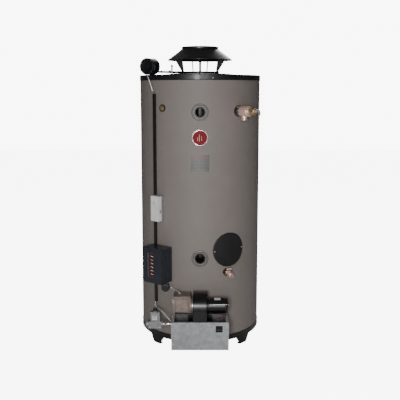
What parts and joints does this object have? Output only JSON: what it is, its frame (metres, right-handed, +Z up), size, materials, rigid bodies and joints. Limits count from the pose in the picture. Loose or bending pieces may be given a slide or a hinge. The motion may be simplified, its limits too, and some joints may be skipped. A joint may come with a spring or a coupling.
{
  "type": "tank water heater",
  "caption": "Upright gas tank water heater on four legs, with a conical draft hood, front pipe ports, relief and drain valves, side controls and a blower-fed burner box",
  "frame": {"origin": "on the floor, under the middle of the overall footprint from the burner panel's screws to the back of the casing", "axes": "+Z up; -Y is the front, the side of the pipe ports and the burner; +X is the right seen from the front"},
  "size_m": [0.8379, 1.0276, 2.034],
  "materials": {
    "jacket_paint": "satin warm grey enamel",
    "black_paint": "semi-gloss black enamel",
    "galvanised": "galvanised sheet with a faint spangle",
    "bare_steel": "zinc-plated steel",
    "dark_steel": "black iron pipe steel",
    "glass_lining": "enamelled tank steel",
    "brass": "cast brass",
    "foam": "rigid foam",
    "ring_plastic": "moulded plastic",
    "black_plastic": "moulded black plastic",
    "red_badge": "glossy domed badge",
    "plate_foil": "printed aluminium foil",
    "white_paint": "white powder coat",
    "panel_red": "smoked red window",
    "board_green": "circuit board",
    "cast_alloy": "die-cast aluminium",
    "anode_metal": "magnesium rod"
  },
  "bodies": {
    "heater": {"jacket": "jacket_paint", "top_pan": "black_paint", "base_pan": "black_paint", "legs": "black_paint", "insulation": "foam", "inner_tank": "glass_lining", "flue_tubes": "dark_steel", "flue_baffles": "bare_steel", "combustion_chamber": "dark_steel", "burner_head": "bare_steel", "anode_rods": "anode_metal", "flue_collector": "galvanised", "hot_outlet_spud": "dark_steel", "cold_inlet_spud": "dark_steel", "port_collars": "ring_plastic", "opening_grommets": "black_plastic", "brass_plug": "brass", "handhole_plate": "dark_steel", "cleanout_cover": "black_paint", "steel_nipples": "bare_steel", "relief_valve_body": "brass", "drain_valve_body": "brass", "badge": "red_badge", "rating_plate": "plate_foil", "hood_flange": "black_paint", "hood_struts": "black_paint", "hood_rods": "black_paint", "hood_skirt": "black_paint", "spill_switch": "black_plastic", "top_channel": "black_paint", "vent_switch_housing": "black_plastic", "vent_switch_cover": "black_plastic", "upper_conduits": "bare_steel", "wire_raceway": "black_paint", "junction_box": "galvanised", "junction_box_cover": "white_paint", "control_box_base": "black_plastic", "control_box_cover": "black_plastic", "indicator_panel": "panel_red", "control_board": "board_green", "pressure_switch": "black_plastic", "sensing_tube": "bare_steel", "burner_tray": "galvanised", "burner_front_panel": "galvanised", "switch_bezel": "black_plastic", "blower_housing": "black_paint", "motor_shell": "black_paint", "intake_box": "galvanised", "gas_valve_body": "cast_alloy", "gas_pipes": "bare_steel", "screws": "bare_steel"},
    "relief_lever": {"relief_valve_lever": "bare_steel"},
    "relief_stem": {"relief_valve_stem": "brass"},
    "drain_handle": {"drain_valve_handle": "brass"},
    "gas_knob": {"gas_valve_knob": "black_plastic"},
    "power_rocker": {"switch_rocker": "black_plastic"},
    "blower_rotor": {"blower_wheel": "galvanised", "motor_rotor": "bare_steel"},
    "shutter": {"air_shutter": "galvanised"},
    "spill_button": {"spill_reset_button": "red_badge"}
  },
  "joints": [
    {"name": "relief_lever_lift", "type": "hinge", "parent": "heater", "child": "relief_lever", "pos_m": [0.35507, -0.37689, 1.608], "axis": [-0.7986, -0.6018, 0], "range_deg": [0, 60], "stiffness_Nm_per_rad": 0.05},
    {"name": "relief_stem_slide", "type": "slide", "parent": "heater", "child": "relief_stem", "axis": [0.6018, -0.7986, 0], "range_m": [0, 0.0032]},
    {"name": "drain_handle_turn", "type": "hinge", "parent": "heater", "child": "drain_handle", "pos_m": [0.19271, -0.31898, 0.557], "axis": [0, 0, 1], "range_deg": [0, 90]},
    {"name": "gas_knob_turn", "type": "hinge", "parent": "heater", "child": "gas_knob", "pos_m": [-0.292, -0.4057, 0.319], "axis": [0, 0, 1], "range_deg": [-90, 0]},
    {"name": "power_switch_rock", "type": "hinge", "parent": "heater", "child": "power_rocker", "pos_m": [0.122, -0.5077, 0.228], "axis": [1, 0, 0], "range_deg": [-14, 0]},
    {"name": "blower_spin", "type": "hinge", "parent": "heater", "child": "blower_rotor", "pos_m": [0.02, -0.4177, 0.352], "axis": [1, 0, 0], "continuous": true},
    {"name": "air_shutter_turn", "type": "hinge", "parent": "heater", "child": "shutter", "pos_m": [-0.173, -0.3967, 0.369], "axis": [1, 0, 0], "range_deg": [0, 45]},
    {"name": "spill_reset_press", "type": "slide", "parent": "heater", "child": "spill_button", "axis": [0, 0, -1], "range_m": [0, 0.0025], "stiffness_N_per_m": 400}
  ],
  "couplings": [
    {"joint": "relief_stem_slide", "follows": "relief_lever_lift", "m_per_rad": 0.003}
  ]
}
